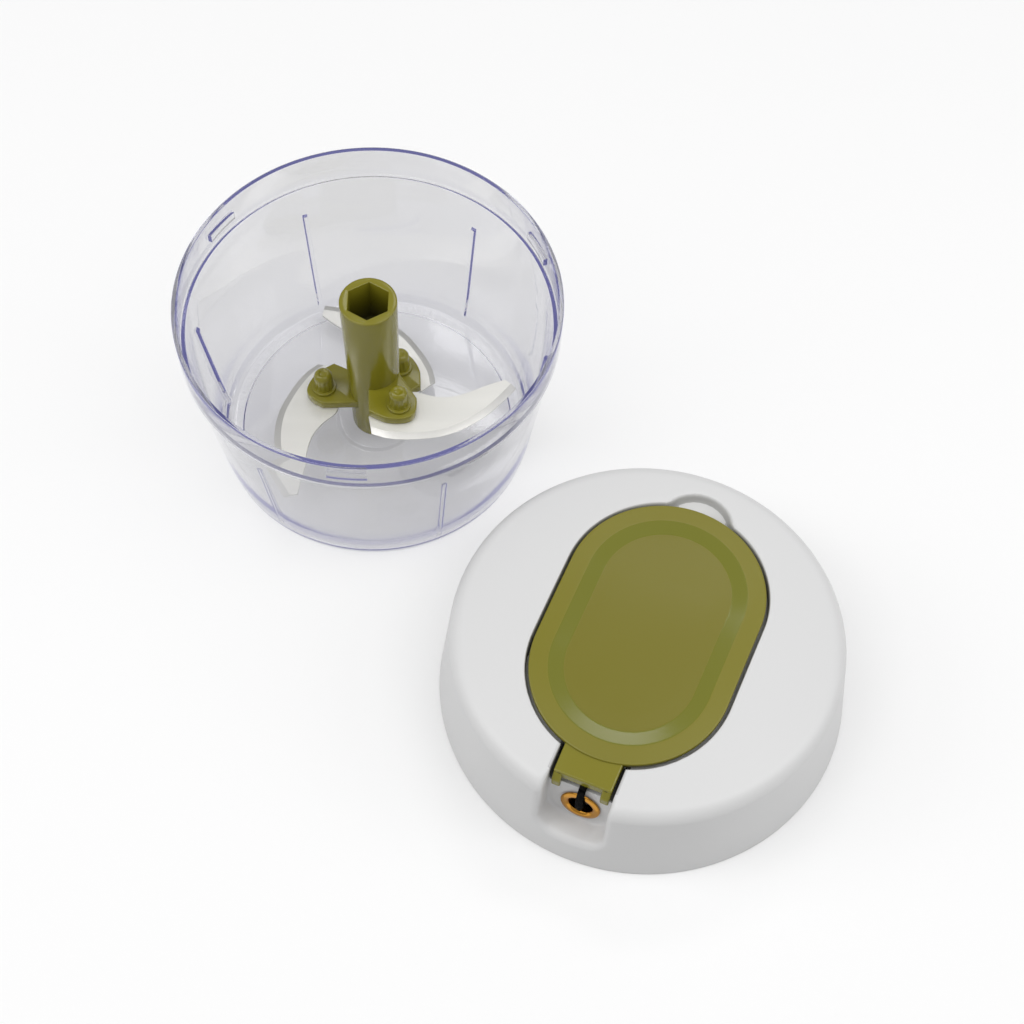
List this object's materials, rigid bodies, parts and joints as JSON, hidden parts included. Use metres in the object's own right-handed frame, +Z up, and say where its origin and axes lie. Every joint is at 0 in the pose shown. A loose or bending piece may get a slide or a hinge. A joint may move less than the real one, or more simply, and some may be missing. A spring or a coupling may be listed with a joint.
{
  "type": "pull-cord food chopper",
  "caption": "Small pull-cord food chopper, taken apart: clear bowl with a three-blade carrier on a pivot, and a round lid with a pull handle and a sprung cord reel.",
  "frame": {"origin": "centre of the bowl's flat underside, on the surface that bowl and lid stand on", "axes": "+Z up along the bowl's axis; -Y towards the side the picture is taken from; the lid lies towards +X and -Y"},
  "size_m": [0.2096, 0.2166, 0.0698],
  "materials": {
    "clear_plastic": "clear, polished",
    "olive_plastic": "semi-gloss moulded",
    "grey_plastic": "satin moulded",
    "white_plastic": "natural moulded",
    "blade_steel": "brushed with ground bevels",
    "steel": "plain",
    "brass": "polished",
    "black_cord": "braided"
  },
  "bodies": {
    "bowl": {"bowl": "clear_plastic", "pivot_pin": "steel"},
    "blade_carrier": {"blade_hub": "olive_plastic", "blade_1": "blade_steel", "blade_2": "blade_steel", "blade_3": "blade_steel", "blade_pin_1": "olive_plastic", "blade_pin_2": "olive_plastic", "blade_pin_3": "olive_plastic"},
    "lid": {"lid_shell": "grey_plastic", "lid_base": "grey_plastic", "lid_screw_1": "steel", "lid_screw_2": "steel", "lid_screw_3": "steel", "cord_eyelet": "brass", "reel_axle": "steel", "recoil_spring": "steel", "cord_lead": "black_cord"},
    "reel": {"cord_reel": "white_plastic", "spring_cover": "steel", "cord_winding": "black_cord", "hex_drive": "white_plastic", "reel_washer": "steel", "reel_screw": "steel"},
    "cord_end": {"cord_tail": "black_cord"},
    "handle": {"pull_handle": "olive_plastic", "cord_knot": "black_cord"}
  },
  "joints": [
    {"name": "blade_spin", "type": "hinge", "parent": "bowl", "child": "blade_carrier", "pos_m": [0, 0, 0], "axis": [0, 0, 1], "continuous": true},
    {"name": "lid_lift", "type": "slide", "parent": "bowl", "child": "lid", "axis": [0, 0, 1], "range_m": [0, 0.12]},
    {"name": "reel_spin", "type": "hinge", "parent": "lid", "child": "reel", "pos_m": [0.08683, -0.09387, 0], "axis": [0, 0, -1], "range_deg": [0, 870]},
    {"name": "cord_pull", "type": "slide", "parent": "lid", "child": "cord_end", "axis": [0, 0, 1], "range_m": [0, 0.3], "stiffness_N_per_m": 12, "springref_m": -0.1, "deforming": ["cord_tail"]},
    {"name": "handle_tilt", "type": "hinge", "parent": "cord_end", "child": "handle", "pos_m": [0.06719, -0.14223, 0.0296], "axis": [0.9265, -0.3762, 0], "range_deg": [0, 90]}
  ],
  "couplings": [
    {"joint": "reel_spin", "follows": "cord_pull", "rad_per_m": 49.6}
  ]
}
